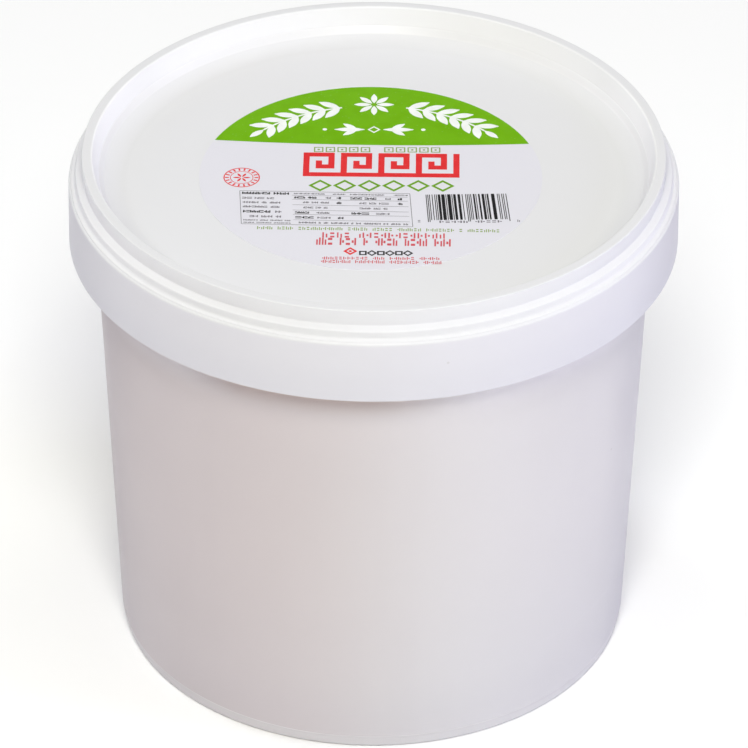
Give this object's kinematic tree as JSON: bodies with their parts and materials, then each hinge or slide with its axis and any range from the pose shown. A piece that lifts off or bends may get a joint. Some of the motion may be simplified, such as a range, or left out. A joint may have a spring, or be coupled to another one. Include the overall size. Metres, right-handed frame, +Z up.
{
  "type": "closed plastic tub of feta cheese",
  "caption": "Round tapered food tub shut with a press-on lid that has a deep skirt, a stacking ring, a recessed panel and a round printed label.",
  "frame": {"origin": "middle of the foot ring, on the surface the tub stands on", "axes": "+Z up along the tub's axis; -Y faces the reader of the label, +X is the label's right"},
  "size_m": [0.215, 0.215, 0.1933],
  "materials": {
    "tub_plastic": "satin off-white polypropylene, faintly see-through, with the cheese and brine showing as soft cloudy shade",
    "lid_plastic": "satin white polyethylene, lighter on the ring and ledges than on the panel",
    "label_paper": "coated paper sticker with fields of green, red and black print"
  },
  "bodies": {
    "root": {"tub": "tub_plastic", "lid": "lid_plastic", "label": "label_paper"}
  },
  "joints": []
}
